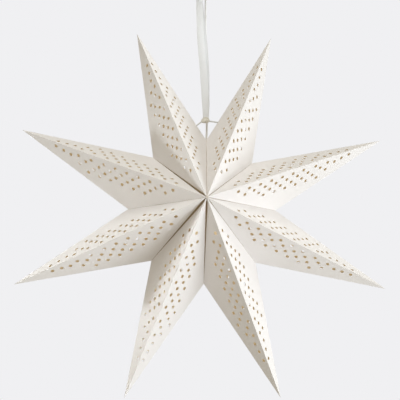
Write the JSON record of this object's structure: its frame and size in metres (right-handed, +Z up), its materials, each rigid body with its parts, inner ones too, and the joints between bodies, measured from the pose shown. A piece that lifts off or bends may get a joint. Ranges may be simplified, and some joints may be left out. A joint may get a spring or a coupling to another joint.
{
  "type": "star pendant light",
  "caption": "Hanging star lantern of folded, perforated white card on a ribbon, with a screw-in lamp on a thin flex inside it and a ceiling cup that carries both.",
  "frame": {"origin": "on the ceiling, at the middle of the ceiling plate's two screw slots", "axes": "+Z up; the star's front apex points to -Y; +X to the right as seen from the front"},
  "size_m": [0.5545, 0.19, 0.6878],
  "materials": {
    "star_card": "matt white perforated card",
    "ribbon_cloth": "woven off-white ribbon",
    "wire_paint": "white coated wire",
    "touch_fastener": "hook and loop pile",
    "flex_sheath": "pale sheathed flex",
    "white_plastic": "moulded white plastic",
    "black_plastic": "moulded insulating plastic",
    "screw_brass": "plain brass",
    "nickel": "nickel plated cap",
    "board": "white light board",
    "opal": "opal diffuser",
    "zinc_steel": "zinc plated",
    "cup_paint": "white enamel"
  },
  "bodies": {
    "ceiling": {"ceiling_plate": "zinc_steel", "ceiling_cup": "cup_paint", "ribbon_hook": "zinc_steel", "hook_plate_nut": "zinc_steel", "hook_cup_nut": "zinc_steel", "hook_washer": "zinc_steel", "cord_grip": "white_plastic", "cord_grip_nut": "white_plastic", "flex_tail": "flex_sheath", "terminal_block": "white_plastic", "terminal_screws": "screw_brass"},
    "ribbon_band": {"ribbon": "ribbon_cloth"},
    "hanger": {"ribbon_knot": "ribbon_cloth", "hanger_wire": "wire_paint"},
    "star": {"star_point_1": "star_card", "star_point_2": "star_card", "star_point_3": "star_card", "star_point_4": "star_card", "star_point_5": "star_card", "star_point_6": "star_card", "star_point_7": "star_card", "star_point_8": "star_card", "seam_hook_dots": "touch_fastener", "seam_loop_dots": "touch_fastener"},
    "lamp": {"pendant_flex": "flex_sheath", "holder_cap": "white_plastic", "holder_grip": "white_plastic", "holder_body": "white_plastic", "holder_insert": "black_plastic", "holder_screws": "screw_brass", "holder_shell": "screw_brass", "holder_contact": "screw_brass"},
    "bulb_core": {"bulb_contact": "screw_brass", "bulb_insulator": "black_plastic"},
    "bulb": {"bulb_cap": "nickel", "bulb_collar": "white_plastic", "led_board": "board", "bulb_globe": "opal"}
  },
  "joints": [
    {"name": "star_swing", "type": "hinge", "parent": "ceiling", "child": "ribbon_band", "pos_m": [-0.012, 0, -0.055], "axis": [1, 0, 0], "range_deg": [-15, 15]},
    {"name": "star_turn", "type": "hinge", "parent": "ribbon_band", "child": "hanger", "pos_m": [-0.0015, 0, -0.2687], "axis": [0, 0, 1], "range_deg": [-30, 30]},
    {"name": "star_tilt", "type": "hinge", "parent": "hanger", "child": "star", "pos_m": [0.00131, 0, -0.2733], "axis": [0.9864, 0, 0.1643], "range_deg": [-5, 5]},
    {"name": "lamp_swing", "type": "hinge", "parent": "ceiling", "child": "lamp", "pos_m": [0, 0.009, -0.055], "axis": [1, 0, 0], "range_deg": [-15, 15]},
    {"name": "bulb_travel", "type": "slide", "parent": "lamp", "child": "bulb_core", "axis": [0, 0, -1], "range_m": [0, 0.01128]},
    {"name": "bulb_turn", "type": "hinge", "parent": "bulb_core", "child": "bulb", "pos_m": [0, 0.009, -0.41], "axis": [0, 0, -1], "range_deg": [0, 1440]}
  ],
  "couplings": [
    {"joint": "lamp_swing", "follows": "star_swing", "ratio": 1},
    {"joint": "bulb_travel", "follows": "bulb_turn", "m_per_rad": 0.00044882}
  ]
}
